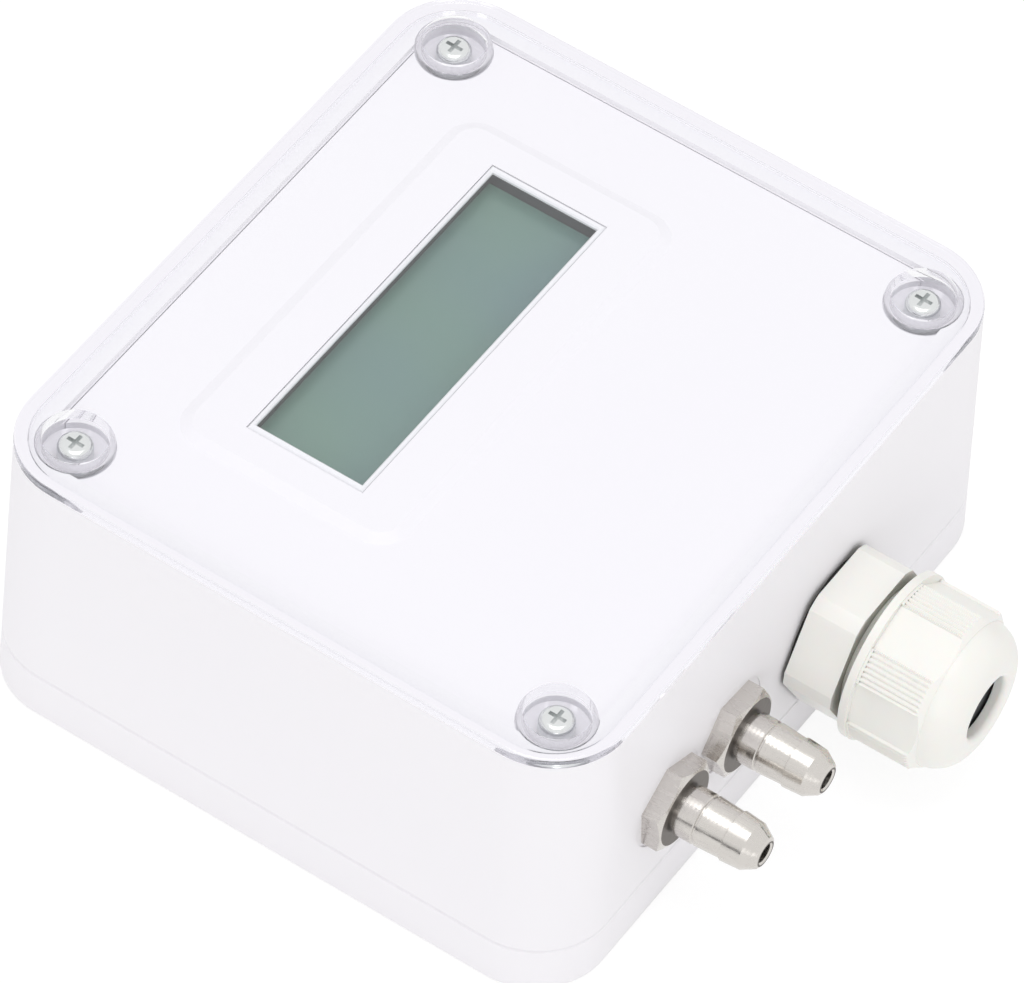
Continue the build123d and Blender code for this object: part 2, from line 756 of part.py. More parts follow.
with BuildPart() as port_nuts:
    with BuildSketch(port_side(0, 0, -wall_at_seat - port_washer_thickness)):
        with Locations(*[(x, port_height) for x in port_xs]):
            RegularPolygon(port_nut_flats / 2, 6, major_radius=False, rotation=30)
            Circle(port_thread_radius + port_thread_clearance, mode=Mode.SUBTRACT)
    extrude(amount=-port_nut_thickness)


def sensor_tube(x):
    """Soft tube from the inner tail of a port to the stub of the sensor."""
    front = port_thread_length + tube_end_gap
    inner_radius = port_tail_radius + tube_clearance
    with BuildPart() as tube:
        with BuildSketch(port_side(x, port_height, -front)):
            Circle(inner_radius + tube_wall)
            Circle(inner_radius, mode=Mode.SUBTRACT)
        extrude(amount=-(sensor_front_y - tube_end_gap - seat_y - front))
    return tube.part


with BuildPart() as high_tube:
    add(sensor_tube(port_xs[0]))

with BuildPart() as low_tube:
    add(sensor_tube(port_xs[1]))

# Cable gland: washer, body with claws, lock nut, rubber seal and cap nut
gland_axis = port_axis(gland_x, gland_height)
gland_hex_end = gland_washer_thickness + gland_hex_thickness
gland_neck_end = gland_hex_end + gland_neck_length
front_thread_end = gland_neck_end + gland_front_thread_length
claw_end = front_thread_end + claw_length
cap_end = cap_start + cap_length
seal_start = seal_pocket_start + lid_clearance

with BuildPart() as gland_washer:
    with BuildSketch(port_side(gland_x, gland_height)):
        Circle(gland_washer_radius)
        Circle(gland_thread_radius + gland_thread_clearance, mode=Mode.SUBTRACT)
    extrude(amount=gland_washer_thickness)

with BuildPart() as gland_body:
    with BuildSketch(port_side(gland_x, gland_height, gland_washer_thickness)):
        RegularPolygon(gland_flats / 2, 6, major_radius=False)
        Circle(gland_corner_radius, mode=Mode.INTERSECT)
    extrude(amount=gland_hex_thickness)
    with BuildSketch(port_section(gland_x, gland_height)):
        with BuildLine():
            Polyline((0, -gland_inner_length), (gland_thread_radius, -gland_inner_length),
                     (gland_thread_radius, gland_washer_thickness + 1.0),
                     (gland_neck_radius, gland_washer_thickness + 1.0),
                     (gland_neck_radius, gland_neck_end),
                     (gland_front_thread_radius, gland_neck_end),
                     (gland_front_thread_radius, front_thread_end),
                     (claw_root_radius, front_thread_end),
                     (claw_tip_radius, claw_end - claw_chamfer),
                     (claw_tip_radius - claw_chamfer, claw_end), (0, claw_end), close=True)
        make_face()
    revolve(axis=gland_axis)
    with BuildSketch(port_section(gland_x, gland_height)):
        with BuildLine():
            Polyline((0, -gland_inner_length), (gland_bore_radius, -gland_inner_length),
                     (gland_bore_radius, seal_pocket_start),
                     (seal_pocket_radius, seal_pocket_start), (seal_pocket_radius, claw_end),
                     (0, claw_end), close=True)
        make_face()
    revolve(axis=gland_axis, mode=Mode.SUBTRACT)
    with Locations(port_side(gland_x, gland_height, front_thread_end)):
        with PolarLocations(claw_root_radius, claw_count):
            Box(2 * claw_root_radius - 2 * seal_pocket_radius + 2.0, claw_slit, claw_length,
                align=(Align.CENTER, Align.CENTER, Align.MIN), mode=Mode.SUBTRACT)

with BuildPart() as gland_lock_nut:
    with BuildSketch(port_side(gland_x, gland_height, -wall_at_seat)):
        RegularPolygon(gland_flats / 2, 6, major_radius=False)
        Circle(gland_thread_radius + gland_thread_clearance, mode=Mode.SUBTRACT)
    extrude(amount=-lock_nut_thickness)

with BuildPart() as gland_seal:
    seal_radius = seal_pocket_radius - seal_clearance
    with BuildSketch(port_section(gland_x, gland_height)):
        with BuildLine():
            Polyline((seal_bore_radius, seal_start), (seal_radius, seal_start),
                     (seal_radius, seal_start + seal_length - seal_chamfer),
                     (seal_radius - seal_chamfer, seal_start + seal_length),
                     (seal_bore_radius, seal_start + seal_length), close=True)
        make_face()
    revolve(axis=gland_axis)

with BuildPart() as gland_cap:
    with BuildSketch(port_side(gland_x, gland_height, cap_start)):
        Circle(cap_flange_radius)
    extrude(amount=cap_flange_thickness)
    grip_start = cap_start + cap_flange_thickness
    with BuildSketch(port_side(gland_x, gland_height, grip_start)):
        RegularPolygon(cap_flats / 2, 6, major_radius=False, rotation=cap_turn)
        with PolarLocations(cap_corner_radius, 6, start_angle=cap_turn):
            Rectangle(cap_corner_radius / 3, grip_pad_width)
        Circle(cap_corner_radius, mode=Mode.INTERSECT)
    extrude(amount=cap_grip_end - grip_start)
    with BuildSketch(port_section(gland_x, gland_height)):
        with BuildLine():
            Polyline((0, cap_start), (cap_flange_radius, cap_start),
                     (cap_flange_radius, grip_start), (cap_corner_radius, grip_start),
                     (cap_corner_radius, cap_grip_end - cap_grip_bevel),
                     (cap_corner_radius - cap_grip_bevel, cap_grip_end), (0, cap_grip_end),
                     close=True)
        make_face()
    revolve(axis=gland_axis, mode=Mode.INTERSECT)
    dome_foot = cap_end - cap_dome_round
    with BuildSketch(port_section(gland_x, gland_height)):
        with BuildLine():
            Polyline((0, cap_end), (0, cap_start + cap_flange_thickness),
                     (cap_dome_radius - 0.5, cap_start + cap_flange_thickness),
                     (cap_dome_radius - 0.5, cap_grip_end - 1.0),
                     (cap_dome_radius, cap_grip_end - 1.0), (cap_dome_radius, dome_foot))
            RadiusArc((cap_dome_radius, dome_foot),
                      (cap_dome_radius - cap_dome_round, cap_end), -cap_dome_round)
            Line((cap_dome_radius - cap_dome_round, cap_end), (0, cap_end))
        make_face()
    revolve(axis=gland_axis)
    with BuildSketch(port_section(gland_x, gland_height)):
        with BuildLine():
            thread_bore = gland_front_thread_radius + cap_thread_clearance
            thread_top = cap_start + cap_thread_depth
            Polyline((0, cap_start), (thread_bore, cap_start), (thread_bore, thread_top),
                     (cap_cone_end_radius, cap_end - cap_mouth_wall),
                     (cap_mouth_radius, cap_end - cap_mouth_wall), (cap_mouth_radius, cap_end),
                     (0, cap_end), close=True)
        make_face()
    revolve(axis=gland_axis, mode=Mode.SUBTRACT)
    mouth_edge = gland_cap.edges().filter_by(GeomType.CIRCLE).group_by(Axis.Y)[0]
    fillet(mouth_edge.sort_by(SortBy.RADIUS)[0], cap_mouth_round)
    with BuildSketch(port_side(gland_x, gland_height, grip_pad_start)):
        groove_span = (groove_count - 1) * groove_turn
        for corner in range(6):
            with PolarLocations(cap_corner_radius, groove_count, angular_range=groove_span,
                                start_angle=cap_turn + 60 * corner - groove_span / 2,
                                endpoint=True):
                Rectangle(groove_size, groove_size, rotation=45)
    extrude(amount=grip_pad_length, mode=Mode.SUBTRACT)

# The pieces, each in a file of its own name
pieces = {
    "back_plate": back_plate,
    "housing": housing,
    "lid": lid,
    "lid_gasket": lid_gasket,
    "lid_screws": lid_screws,
    "case_screws": case_screws,
    "display_panel": display_panel,
    "lcd_frame": lcd_frame,
    "lcd_bezel": lcd_bezel,
    "lcd_glass": lcd_glass,
    "lcd_light_guide": lcd_light_guide,
    "lcd_pins": lcd_pins,
    "display_board": display_board,
    "display_board_screws": display_board_screws,
    "board_spacers": board_spacers,
    "main_board": main_board,
    "header_strip": header_strip,
    "header_pins": header_pins,
    "board_chips": board_chips,
    "board_capacitor": board_capacitor,
    "terminal_block": terminal_block,
    "terminal_clamps": terminal_clamps,
    "terminal_screws": terminal_screws,
    "pressure_sensor": pressure_sensor,
    "high_port": high_port,
    "low_port": low_port,
    "port_washers": port_washers,
    "port_nuts": port_nuts,
    "high_tube": high_tube,
    "low_tube": low_tube,
    "gland_washer": gland_washer,
    "gland_body": gland_body,
    "gland_lock_nut": gland_lock_nut,
    "gland_seal": gland_seal,
    "gland_cap": gland_cap,
}
os.makedirs("parts", exist_ok=True)
for label, piece in pieces.items():
    piece.part.label = label
    export_step(piece.part, f"parts/{label}.step")
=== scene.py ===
import math

import bpy
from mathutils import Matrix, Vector

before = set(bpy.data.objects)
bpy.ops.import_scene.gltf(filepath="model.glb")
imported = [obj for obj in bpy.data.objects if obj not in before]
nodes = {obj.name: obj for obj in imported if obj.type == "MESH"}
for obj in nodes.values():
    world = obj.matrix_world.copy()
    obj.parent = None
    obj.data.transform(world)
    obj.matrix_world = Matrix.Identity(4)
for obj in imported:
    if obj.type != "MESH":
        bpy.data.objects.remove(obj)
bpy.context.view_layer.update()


# Housing and back plate: two shells of white ABS, injection moulded with a fine satin
# texture. The housing drops onto the back plate, and four screws from behind pull the
# two together at the thin seam that runs round the walls.

def srgb(hex_colour):
    """Linear colour with full alpha from a six digit sRGB hex value."""
    channels = [int(hex_colour[i:i + 2], 16) / 255 for i in (1, 3, 5)]
    linear = [c / 12.92 if c <= 0.04045 else ((c + 0.055) / 1.055) ** 2.4 for c in channels]
    return (*linear, 1.0)


def add_node(tree, kind, inputs=None, **settings):
    """Add a shader node; an input is a value to set or an output socket to link."""
    new_node = tree.nodes.new(kind)
    for setting, value in settings.items():
        setattr(new_node, setting, value)
    for name, value in (inputs or {}).items():
        if isinstance(value, bpy.types.NodeSocket):
            tree.links.new(value, new_node.inputs[name])
        else:
            new_node.inputs[name].default_value = value
    return new_node


def new_material(name):
    """Empty node material and its tree."""
    material = bpy.data.materials.new(name)
    material.use_nodes = True
    material.node_tree.nodes.clear()
    return material, material.node_tree


def finish_material(tree, shader):
    """Send a shader to the surface output."""
    add_node(tree, "ShaderNodeOutputMaterial", {"Surface": shader})


def dress(material, *names):
    """Give CAD pieces a material in every slot they have."""
    for name in names:
        for slot in nodes[name].material_slots:
            slot.material = material


moulded_abs, tree = new_material("moulded_white_abs")
# Spark-eroded mould texture: low, soft grains 0.18 mm across. The white has a trace of
# violet and drifts a little over 45 mm.
grain_width = 0.00018
grain_depth = 0.00002
drift_width = 0.045
place = add_node(tree, "ShaderNodeTexCoord").outputs["Object"]
grain = add_node(tree, "ShaderNodeTexNoise", {"Vector": place, "Scale": 1 / grain_width,
                                              "Detail": 2.0, "Roughness": 0.6})
flow = add_node(tree, "ShaderNodeTexNoise", {"Vector": place, "Scale": 1 / drift_width,
                                             "Detail": 1.0})
tone = add_node(tree, "ShaderNodeMix", {"Factor": flow.outputs["Fac"]}, data_type="RGBA")
tone.inputs["A"].default_value = srgb("#F2F0F4")
tone.inputs["B"].default_value = srgb("#F4F2F5")
relief = add_node(tree, "ShaderNodeBump", {"Height": grain.outputs["Fac"], "Strength": 0.12,
                                           "Distance": grain_depth})
skin = add_node(tree, "ShaderNodeBsdfPrincipled", {
    "Base Color": tone.outputs["Result"], "Roughness": 0.42, "IOR": 1.53,
    "Normal": relief.outputs["Normal"]})
finish_material(tree, skin.outputs["BSDF"])
dress(moulded_abs, "housing", "back_plate")


# Clear lid: polycarbonate, injection moulded and left polished, 1.15 mm at its edge with
# a plateau inside the lip. Its four cups take the lid screws below the surface.

clear_polycarbonate, tree = new_material("clear_polycarbonate")
# Water clear with a trace of blue; polished faces, IOR of polycarbonate 1.585. Light
# that falls on the panel goes straight through, and light caught inside the sheet leaves
# it after three turns. Both are simpler than the real sheet and keep panel and rim pale.
turns_inside = 2.5
body = add_node(tree, "ShaderNodeBsdfPrincipled", {
    "Base Color": srgb("#FEFEFF"), "Roughness": 0.0, "IOR": 1.585,
    "Transmission Weight": 1.0})
rays = add_node(tree, "ShaderNodeLightPath")
falling = add_node(tree, "ShaderNodeMath", {0: rays.outputs["Is Shadow Ray"],
                                            1: rays.outputs["Is Diffuse Ray"]},
                   operation="MAXIMUM")
caught = add_node(tree, "ShaderNodeMath", {0: rays.outputs["Ray Depth"], 1: turns_inside},
                  operation="GREATER_THAN")
straight = add_node(tree, "ShaderNodeMath", {0: falling.outputs["Value"],
                                             1: caught.outputs["Value"]},
                    operation="MAXIMUM")
passed = add_node(tree, "ShaderNodeBsdfTransparent", {"Color": srgb("#FCFCFD")})
mixed = add_node(tree, "ShaderNodeMixShader", {0: straight.outputs["Value"],
                                               1: body.outputs["BSDF"],
                                               2: passed.outputs["BSDF"]})
finish_material(tree, mixed.outputs["Shader"])
dress(clear_polycarbonate, "lid")


# Lid gasket: a flat frame of white silicone rubber on the shelf inside the lip, where the
# plateau of the lid holds it down.

silicone_gasket, tree = new_material("white_silicone_rubber")
# Soft rubber with a dull bloom in specks of 0.3 mm.
speck_width = 0.0003
place = add_node(tree, "ShaderNodeTexCoord").outputs["Object"]
bloom = add_node(tree, "ShaderNodeTexNoise", {"Vector": place, "Scale": 1 / speck_width})
tone = add_node(tree, "ShaderNodeMix", {"Factor": bloom.outputs["Fac"]}, data_type="RGBA")
tone.inputs["A"].default_value = srgb("#F2F1F4")
tone.inputs["B"].default_value = srgb("#F6F5F7")
soft = add_node(tree, "ShaderNodeBsdfPrincipled", {
    "Base Color": tone.outputs["Result"], "Roughness": 0.62, "IOR": 1.43})
finish_material(tree, soft.outputs["BSDF"])
dress(silicone_gasket, "lid_gasket")


# Screws: stainless steel pan heads with a cross recess, cold formed and left bright. The
# washers of the ports are stamped from the same steel.

stainless_steel, tree = new_material("stainless_steel")
# Bright metal whose polish varies over 0.25 mm.
patch_width = 0.00025
place = add_node(tree, "ShaderNodeTexCoord").outputs["Object"]
marks = add_node(tree, "ShaderNodeTexNoise", {"Vector": place, "Scale": 1 / patch_width,
                                              "Detail": 3.0})
polish = add_node(tree, "ShaderNodeMapRange", {"Value": marks.outputs["Fac"],
                                               "To Min": 0.14, "To Max": 0.3})
steel = add_node(tree, "ShaderNodeBsdfPrincipled", {
    "Base Color": srgb("#E0E2E2"), "Metallic": 1.0, "Roughness": polish.outputs["Result"]})
finish_material(tree, steel.outputs["BSDF"])
dress(stainless_steel, "lid_screws", "case_screws", "display_board_screws",
      "terminal_screws", "port_washers")


# White panel: polystyrene with a smooth matt face; it lies on the ledge of the rim and
# its raised surround frames the display.

matt_polystyrene, tree = new_material("matt_white_polystyrene")
# Smooth matt moulding, slightly brighter than the walls, with a soft grain of 0.2 mm and
# a drift of tone over 50 mm.
grain_width = 0.0002
grain_depth = 0.00002
drift_width = 0.05
place = add_node(tree, "ShaderNodeTexCoord").outputs["Object"]
flow = add_node(tree, "ShaderNodeTexNoise", {"Vector": place, "Scale": 1 / drift_width,
                                             "Detail": 1.0})
tone = add_node(tree, "ShaderNodeMix", {"Factor": flow.outputs["Fac"]}, data_type="RGBA")
tone.inputs["A"].default_value = srgb("#F6F4F8")
tone.inputs["B"].default_value = srgb("#F8F7F9")
grain = add_node(tree, "ShaderNodeTexNoise", {"Vector": place, "Scale": 1 / grain_width})
relief = add_node(tree, "ShaderNodeBump", {"Height": grain.outputs["Fac"], "Strength": 0.08,
                                           "Distance": grain_depth})
face = add_node(tree, "ShaderNodeBsdfPrincipled", {
    "Base Color": tone.outputs["Result"], "Roughness": 0.55, "IOR": 1.59,
    "Normal": relief.outputs["Normal"]})
finish_material(tree, face.outputs["BSDF"])
dress(matt_polystyrene, "display_panel")


# Display: a grey-green liquid crystal glass behind a dark bezel, with a thin polished
# rim round its window, a frosted light guide behind it and two rows of tinned pins.

display_film, tree = new_material("polariser_film")
# Polarising film on glass: grey green that drifts to blue over 30 mm, with a soft gloss.
drift_width = 0.03
place = add_node(tree, "ShaderNodeTexCoord").outputs["Object"]
drift = add_node(tree, "ShaderNodeTexNoise", {"Vector": place, "Scale": 1 / drift_width,
                                              "Detail": 1.5})
spread = add_node(tree, "ShaderNodeMapRange", {"Value": drift.outputs["Fac"],
                                               "From Min": 0.35, "From Max": 0.65})
tone = add_node(tree, "ShaderNodeMix", {"Factor": spread.outputs["Result"]},
                data_type="RGBA")
tone.inputs["A"].default_value = srgb("#67887B")
tone.inputs["B"].default_value = srgb("#638083")
film = add_node(tree, "ShaderNodeBsdfPrincipled", {
    "Base Color": tone.outputs["Result"], "Roughness": 0.25, "IOR": 1.49})
finish_material(tree, film.outputs["BSDF"])
dress(display_film, "lcd_glass")

polished_rim, tree = new_material("polished_acrylic_rim")
# Edge of white acrylic, polished, with a faint mottle of 0.4 mm.
mottle_width = 0.0004
place = add_node(tree, "ShaderNodeTexCoord").outputs["Object"]
cuts = add_node(tree, "ShaderNodeTexNoise", {"Vector": place, "Scale": 1 / mottle_width})
tone = add_node(tree, "ShaderNodeMix", {"Factor": cuts.outputs["Fac"]}, data_type="RGBA")
tone.inputs["A"].default_value = srgb("#F3F3F6")
tone.inputs["B"].default_value = srgb("#FAFAFC")
rim = add_node(tree, "ShaderNodeBsdfPrincipled", {
    "Base Color": tone.outputs["Result"], "Roughness": 0.12, "IOR": 1.49})
finish_material(tree, rim.outputs["BSDF"])
dress(polished_rim, "lcd_frame")

black_polymer, tree = new_material("black_moulded_polymer")
# Dark moulded plastic with a soft sheen and a grain of 0.2 mm.
grain_width = 0.0002
place = add_node(tree, "ShaderNodeTexCoord").outputs["Object"]
grain = add_node(tree, "ShaderNodeTexNoise", {"Vector": place, "Scale": 1 / grain_width})
tone = add_node(tree, "ShaderNodeMix", {"Factor": grain.outputs["Fac"]}, data_type="RGBA")
tone.inputs["A"].default_value = srgb("#37363B")
tone.inputs["B"].default_value = srgb("#434247")
dark = add_node(tree, "ShaderNodeBsdfPrincipled", {
    "Base Color": tone.outputs["Result"], "Roughness": 0.5, "IOR": 1.5})
finish_material(tree, dark.outputs["BSDF"])
dress(black_polymer, "lcd_bezel", "header_strip", "board_chips")

frosted_acrylic, tree = new_material("frosted_acrylic")
# Light guide: milky acrylic with printed dots 0.6 mm apart.
dot_spacing = 0.0006
place = add_node(tree, "ShaderNodeTexCoord").outputs["Object"]
dots = add_node(tree, "ShaderNodeTexVoronoi", {"Vector": place, "Scale": 1 / dot_spacing})
tone = add_node(tree, "ShaderNodeMix", {"Factor": dots.outputs["Distance"]},
                data_type="RGBA")
tone.inputs["A"].default_value = srgb("#E6EBEB")
tone.inputs["B"].default_value = srgb("#F2F5F5")
milky = add_node(tree, "ShaderNodeBsdfPrincipled", {
    "Base Color": tone.outputs["Result"], "Roughness": 0.4, "IOR": 1.49})
finish_material(tree, milky.outputs["BSDF"])
dress(frosted_acrylic, "lcd_light_guide")

tinned_bronze, tree = new_material("tinned_bronze")
# Tin plate over stamped bronze: dull bright metal whose polish varies over 0.1 mm.
patch_width = 0.0001
place = add_node(tree, "ShaderNodeTexCoord").outputs["Object"]
streaks = add_node(tree, "ShaderNodeTexNoise", {"Vector": place, "Scale": 1 / patch_width})
polish = add_node(tree, "ShaderNodeMapRange", {"Value": streaks.outputs["Fac"],
                                               "To Min": 0.3, "To Max": 0.5})
tin = add_node(tree, "ShaderNodeBsdfPrincipled", {
    "Base Color": srgb("#CFCEC8"), "Metallic": 1.0, "Roughness": polish.outputs["Result"]})
finish_material(tree, tin.outputs["BSDF"])
dress(tinned_bronze, "lcd_pins", "header_pins", "terminal_clamps")


# Circuit boards: glass fibre laminate under green solder mask, joined by four turned
# brass spacers and a pin header; the larger board carries the sensor and the terminals.

board_laminate, tree = new_material("green_solder_mask")
# Solder mask over copper: brighter where tracks 0.7 mm wide run under it, drawn as the
# joints of a brick pattern. Its unit is 12 mm, and half a joint takes 0.03 of it.
brick_unit = 0.012
place = add_node(tree, "ShaderNodeTexCoord").outputs["Object"]
tracks = add_node(tree, "ShaderNodeTexBrick", {
    "Vector": place, "Scale": 1 / brick_unit, "Mortar Size": 0.03,
    "Color1": srgb("#14532C"), "Color2": srgb("#175B31"), "Mortar": srgb("#23763F")})
mask = add_node(tree, "ShaderNodeBsdfPrincipled", {
    "Base Color": tracks.outputs["Color"], "Roughness": 0.3, "IOR": 1.55})
finish_material(tree, mask.outputs["BSDF"])
dress(board_laminate, "main_board", "display_board")

turned_brass, tree = new_material("turned_brass")
# Spacers cut from hexagonal brass bar, with a polish that varies over 0.2 mm.
patch_width = 0.0002
place = add_node(tree, "ShaderNodeTexCoord").outputs["Object"]
marks = add_node(tree, "ShaderNodeTexNoise", {"Vector": place, "Scale": 1 / patch_width})
polish = add_node(tree, "ShaderNodeMapRange", {"Value": marks.outputs["Fac"],
                                               "To Min": 0.2, "To Max": 0.35})
brass = add_node(tree, "ShaderNodeBsdfPrincipled", {
    "Base Color": srgb("#D8C184"), "Metallic": 1.0, "Roughness": polish.outputs["Result"]})
finish_material(tree, brass.outputs["BSDF"])
dress(turned_brass, "board_spacers")

drawn_can, tree = new_material("drawn_aluminium_can")
# Deep drawn aluminium whose polish varies over 0.3 mm.
patch_width = 0.0003
place = add_node(tree, "ShaderNodeTexCoord").outputs["Object"]
lines = add_node(tree, "ShaderNodeTexNoise", {"Vector": place, "Scale": 1 / patch_width})
polish = add_node(tree, "ShaderNodeMapRange", {"Value": lines.outputs["Fac"],
                                               "To Min": 0.25, "To Max": 0.4})
can = add_node(tree, "ShaderNodeBsdfPrincipled", {
    "Base Color": srgb("#BFC1C4"), "Metallic": 1.0, "Roughness": polish.outputs["Result"]})
finish_material(tree, can.outputs["BSDF"])
dress(drawn_can, "board_capacitor")

terminal_polyamide, tree = new_material("green_polyamide")
# Moulded polyamide of the screw terminals, with a grain of 0.2 mm.
grain_width = 0.0002
place = add_node(tree, "ShaderNodeTexCoord").outputs["Object"]
grain = add_node(tree, "ShaderNodeTexNoise", {"Vector": place, "Scale": 1 / grain_width})
tone = add_node(tree, "ShaderNodeMix", {"Factor": grain.outputs["Fac"]}, data_type="RGBA")
tone.inputs["A"].default_value = srgb("#2F8A4B")
tone.inputs["B"].default_value = srgb("#35934F")
polyamide = add_node(tree, "ShaderNodeBsdfPrincipled", {
    "Base Color": tone.outputs["Result"], "Roughness": 0.45, "IOR": 1.53})
finish_material(tree, polyamide.outputs["BSDF"])
dress(terminal_polyamide, "terminal_block")

sensor_case, tree = new_material("grey_sensor_polymer")
# Filled polymer case of the pressure sensor: dark grey, with a coarse grain of 0.4 mm.
grain_width = 0.0004
place = add_node(tree, "ShaderNodeTexCoord").outputs["Object"]
grain = add_node(tree, "ShaderNodeTexNoise", {"Vector": place, "Scale": 1 / grain_width})
tone = add_node(tree, "ShaderNodeMix", {"Factor": grain.outputs["Fac"]}, data_type="RGBA")
tone.inputs["A"].default_value = srgb("#3B3C3F")
tone.inputs["B"].default_value = srgb("#45464A")
polymer = add_node(tree, "ShaderNodeBsdfPrincipled", {
    "Base Color": tone.outputs["Result"], "Roughness": 0.55, "IOR": 1.5})
finish_material(tree, polymer.outputs["BSDF"])
dress(sensor_case, "pressure_sensor")

silicone_hose, tree = new_material("translucent_silicone")
# Soft silicone hose, milky and a little glossy, with clouds 2 mm across.
cloud_width = 0.002
place = add_node(tree, "ShaderNodeTexCoord").outputs["Object"]
cloud = add_node(tree, "ShaderNodeTexNoise", {"Vector": place, "Scale": 1 / cloud_width})
tone = add_node(tree, "ShaderNodeMix", {"Factor": cloud.outputs["Fac"]}, data_type="RGBA")
tone.inputs["A"].default_value = srgb("#E9E7E0")
tone.inputs["B"].default_value = srgb("#F1F0EB")
hose = add_node(tree, "ShaderNodeBsdfPrincipled", {
    "Base Color": tone.outputs["Result"], "Roughness": 0.35, "IOR": 1.41,
    "Subsurface Weight": 0.3, "Subsurface Scale": 0.002})
finish_material(tree, hose.outputs["BSDF"])
dress(silicone_hose, "high_tube", "low_tube")


# Hose ports: brass turned from bar, nickel plated. A hexagon tightens each against the
# wall, a nut holds it inside, and shallow barbs grip the hose.

nickel_plate, tree = new_material("nickel_plated_brass")
# Bright nickel with a warm cast. The rings of the turning tool are drawn 0.5 mm apart,
# coarser than real ones, so that they show: the wave makes one in 0.314 of its unit.
# Streaks along the barrel are 0.6 mm apart and 5 mm long. Faces square to -Y are drawn
# darker and duller: a painted dark reflection on the front of each hexagon.
wave_unit = 0.0016
streak_spacing = 0.0006
streak_shortening = 0.12
place = add_node(tree, "ShaderNodeTexCoord").outputs["Object"]
rings = add_node(tree, "ShaderNodeTexWave", {"Vector": place, "Scale": 1 / wave_unit,
                                             "Distortion": 0.6, "Detail": 2.0},
                 wave_type="BANDS", bands_direction="Y")
drawn_out = add_node(tree, "ShaderNodeMapping", {"Vector": place,
                                                 "Scale": (1.0, streak_shortening, 1.0)})
smears = add_node(tree, "ShaderNodeTexNoise", {"Vector": drawn_out.outputs["Vector"],
                                               "Scale": 1 / streak_spacing, "Detail": 4.0})
turned = add_node(tree, "ShaderNodeMapRange", {"Value": smears.outputs["Fac"],
                                               "From Min": 0.3, "From Max": 0.7,
                                               "To Min": 0.12, "To Max": 0.36})
facing = add_node(tree, "ShaderNodeSeparateXYZ",
                  {"Vector": add_node(tree, "ShaderNodeTexCoord").outputs["Normal"]})
# Mask of the painted dark reflection: 1 on faces square to -Y, the fronts of the hexagons.
painted_shade_front = add_node(tree, "ShaderNodeMapRange", {"Value": facing.outputs["Y"],
                                              "From Min": -0.97, "From Max": -0.9,
                                              "To Min": 1.0, "To Max": 0.0})
polish = add_node(tree, "ShaderNodeMix", {"Factor": painted_shade_front.outputs["Result"],
                                          "A": turned.outputs["Result"]},
                  data_type="FLOAT")
polish.inputs["B"].default_value = 0.38
# Nickel colour, with the painted dark reflection on the faces square to -Y.
plating_and_painted_shade = add_node(tree, "ShaderNodeMix", {"Factor": painted_shade_front.outputs["Result"]},
                   data_type="RGBA")
plating_and_painted_shade.inputs["A"].default_value = srgb("#D3CFCA")
plating_and_painted_shade.inputs["B"].default_value = srgb("#66605B")
cut = add_node(tree, "ShaderNodeBump", {"Height": rings.outputs["Fac"], "Strength": 0.15,
                                        "Distance": 0.00002})
relief = add_node(tree, "ShaderNodeBump", {"Height": smears.outputs["Fac"],
                                           "Strength": 0.35, "Distance": 0.00006,
                                           "Normal": cut.outputs["Normal"]})
nickel = add_node(tree, "ShaderNodeBsdfPrincipled", {
    "Base Color": plating_and_painted_shade.outputs["Result"], "Metallic": 1.0,
    "Roughness": polish.outputs["Result"], "Normal": relief.outputs["Normal"]})
finish_material(tree, nickel.outputs["BSDF"])
dress(nickel_plate, "high_port", "low_port", "port_nuts")


# Cable gland: light grey nylon, moulded smooth, with a black rubber washer under its
# hexagon and a rubber seal that the ribbed cap nut squeezes onto the cable.

gland_nylon, tree = new_material("light_grey_nylon")
# Polyamide 66: a warm grey white with a trace of green and a soft gloss, clouded over
# 6 mm, with a grain of 0.3 mm. Gaps closer than 2 mm, as behind the cap nut, get painted
# shade in dark olive.
cloud_width = 0.006
gap_reach = 0.002
grain_width = 0.0003
grain_depth = 0.00002
place = add_node(tree, "ShaderNodeTexCoord").outputs["Object"]
flow = add_node(tree, "ShaderNodeTexNoise", {"Vector": place, "Scale": 1 / cloud_width,
                                             "Detail": 2.0})
unshaded_nylon = add_node(tree, "ShaderNodeMix", {"Factor": flow.outputs["Fac"]}, data_type="RGBA")
unshaded_nylon.inputs["A"].default_value = srgb("#EFEEE9")
unshaded_nylon.inputs["B"].default_value = srgb("#F2F1EC")
# Painted shade: occlusion within 2 mm darkens gaps and grooves towards olive.
gap_shade = add_node(tree, "ShaderNodeAmbientOcclusion", {"Distance": gap_reach}, samples=8)
unshaded_share = add_node(tree, "ShaderNodeMapRange", {"Value": gap_shade.outputs["AO"],
                                                   "From Min": 0.12, "From Max": 0.5})
tone = add_node(tree, "ShaderNodeMix", {"Factor": unshaded_share.outputs["Result"],
                                        "B": unshaded_nylon.outputs["Result"]}, data_type="RGBA")
# Colour of the painted shade in the gaps.
tone.inputs["A"].default_value = srgb("#5E5D40")
grain = add_node(tree, "ShaderNodeTexNoise", {"Vector": place, "Scale": 1 / grain_width})
relief = add_node(tree, "ShaderNodeBump", {"Height": grain.outputs["Fac"], "Strength": 0.1,
                                           "Distance": grain_depth})
nylon = add_node(tree, "ShaderNodeBsdfPrincipled", {
    "Base Color": tone.outputs["Result"], "Roughness": 0.38, "IOR": 1.53,
    "Subsurface Weight": 0.15, "Subsurface Scale": 0.001,
    "Normal": relief.outputs["Normal"]})
finish_material(tree, nylon.outputs["BSDF"])
dress(gland_nylon, "gland_body", "gland_lock_nut", "gland_cap")

black_rubber, tree = new_material("black_nitrile_rubber")
